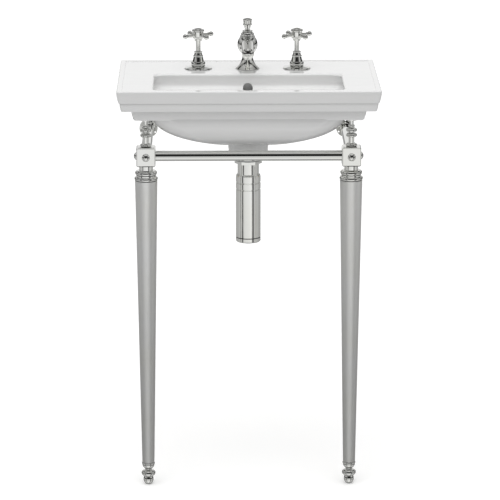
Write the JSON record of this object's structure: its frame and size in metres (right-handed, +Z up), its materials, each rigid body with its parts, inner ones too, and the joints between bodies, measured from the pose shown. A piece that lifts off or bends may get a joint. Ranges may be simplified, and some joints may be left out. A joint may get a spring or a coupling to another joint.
{
  "type": "console washbasin",
  "caption": "Ceramic console basin with a stepped skirt on turned metal legs, with rails, a tap set, a pop-up waste and a bottle trap.",
  "frame": {"origin": "on the floor, midway between the basin's sides and midway between its front edge and the wall", "axes": "+X to the viewer's right, +Y towards the wall, +Z up"},
  "size_m": [0.55, 0.372, 0.9817],
  "materials": {
    "ceramic": "white glaze",
    "polished": "polished nickel tone plating on brass",
    "steel": "plain stainless steel",
    "brass": "raw machined brass",
    "copper": "plain copper pipe",
    "rubber": "black seal rubber"
  },
  "bodies": {
    "root": {"basin": "ceramic", "waste_body": "polished", "waste_rim_seal": "rubber", "waste_under_seal": "rubber", "waste_backnut": "polished", "popup_tee": "polished", "pivot_nut": "polished", "rod_sleeve": "brass", "trap_inlet_nut": "polished", "trap_union_nut": "polished", "trap_body": "polished", "trap_dip_tube": "brass", "trap_cap": "polished", "trap_seal": "rubber", "outlet_pipe": "polished", "outlet_nut": "polished", "outlet_escutcheon": "polished", "spout_body": "polished", "spout_aerator": "polished", "spout_tee": "brass", "deck_washers": "rubber", "deck_backnuts": "brass", "tap_flanges": "polished", "tap_cartridges": "brass", "link_pipes": "copper", "wall_flanges": "polished", "cap_studs": "polished", "front_rail": "polished", "post_pads": "rubber", "hot_bell": "polished", "hot_valve": "brass", "cold_bell": "polished", "cold_valve": "brass", "corner_block_left": "polished", "side_rail_left": "polished", "post_left": "polished", "leg_collar_left": "polished", "leg_tube_left": "polished", "leg_ferrule_left": "polished", "corner_block_right": "polished", "side_rail_right": "polished", "post_right": "polished", "leg_collar_right": "polished", "leg_tube_right": "polished", "leg_ferrule_right": "polished"},
    "hot_handle": {"hot_handle": "polished", "hot_spindle": "polished", "hot_button": "polished"},
    "cold_handle": {"cold_handle": "polished", "cold_spindle": "polished", "cold_button": "polished"},
    "lift_rod": {"lift_rod": "steel", "lift_knob": "polished", "lift_strap": "steel", "strap_screw": "steel"},
    "pivot_rod": {"pivot_rod": "steel"},
    "waste_plug": {"waste_plug": "polished", "plug_seal": "rubber"},
    "foot_left": {"foot_left": "polished"},
    "foot_right": {"foot_right": "polished"}
  },
  "joints": [
    {"name": "hot_handle_turn", "type": "hinge", "parent": "root", "child": "hot_handle", "pos_m": [-0.106, 0.089, 0.944], "axis": [0, 0, 1], "range_deg": [0, 90]},
    {"name": "cold_handle_turn", "type": "hinge", "parent": "root", "child": "cold_handle", "pos_m": [0.106, 0.089, 0.944], "axis": [0, 0, 1], "range_deg": [-90, 0]},
    {"name": "lift_rod_slide", "type": "slide", "parent": "root", "child": "lift_rod", "axis": [0, 0, 1], "range_m": [0, 0.024]},
    {"name": "pivot_rod_swing", "type": "hinge", "parent": "root", "child": "pivot_rod", "pos_m": [0, -0.009, 0.6795], "axis": [1, 0, 0], "range_deg": [0, 14.1]},
    {"name": "waste_plug_slide", "type": "slide", "parent": "root", "child": "waste_plug", "axis": [0, 0, 1], "range_m": [-0.0067, 0]},
    {"name": "foot_left_screw", "type": "slide", "parent": "root", "child": "foot_left", "axis": [0, 0, -1], "range_m": [0, 0.015]},
    {"name": "foot_right_screw", "type": "slide", "parent": "root", "child": "foot_right", "axis": [0, 0, -1], "range_m": [0, 0.015]}
  ],
  "couplings": [
    {"joint": "pivot_rod_swing", "follows": "lift_rod_slide", "rad_per_m": 10.204},
    {"joint": "waste_plug_slide", "follows": "lift_rod_slide", "ratio": -0.27551}
  ]
}
